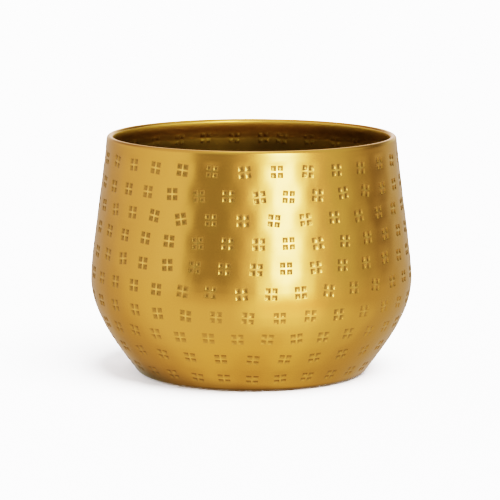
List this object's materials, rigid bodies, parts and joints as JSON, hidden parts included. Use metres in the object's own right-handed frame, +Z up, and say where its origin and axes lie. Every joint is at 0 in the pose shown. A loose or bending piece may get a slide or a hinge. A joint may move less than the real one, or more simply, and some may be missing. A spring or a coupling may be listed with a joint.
{
  "type": "planter pot",
  "caption": "Round brass planter pot with a full belly, a narrower foot, an inward-rolled lip and a soldered base on thin pads.",
  "frame": {"origin": "on the shelf, under the middle of the pot: the centre of the foot pads' undersides", "axes": "+Z up along the pot's axis of turning; the pot is round, so +X and +Y only place the pads, at 45 degrees to both"},
  "size_m": [0.2, 0.2, 0.148],
  "materials": {
    "punched_brass": "satin",
    "plate_brass": "dull",
    "solder": "dull",
    "pad_rubber": "matte"
  },
  "bodies": {
    "root": {"wall_shell": "punched_brass", "base_plate": "plate_brass", "seam_bead": "solder", "foot_pad_1": "pad_rubber", "foot_pad_2": "pad_rubber", "foot_pad_3": "pad_rubber", "foot_pad_4": "pad_rubber"}
  },
  "joints": []
}
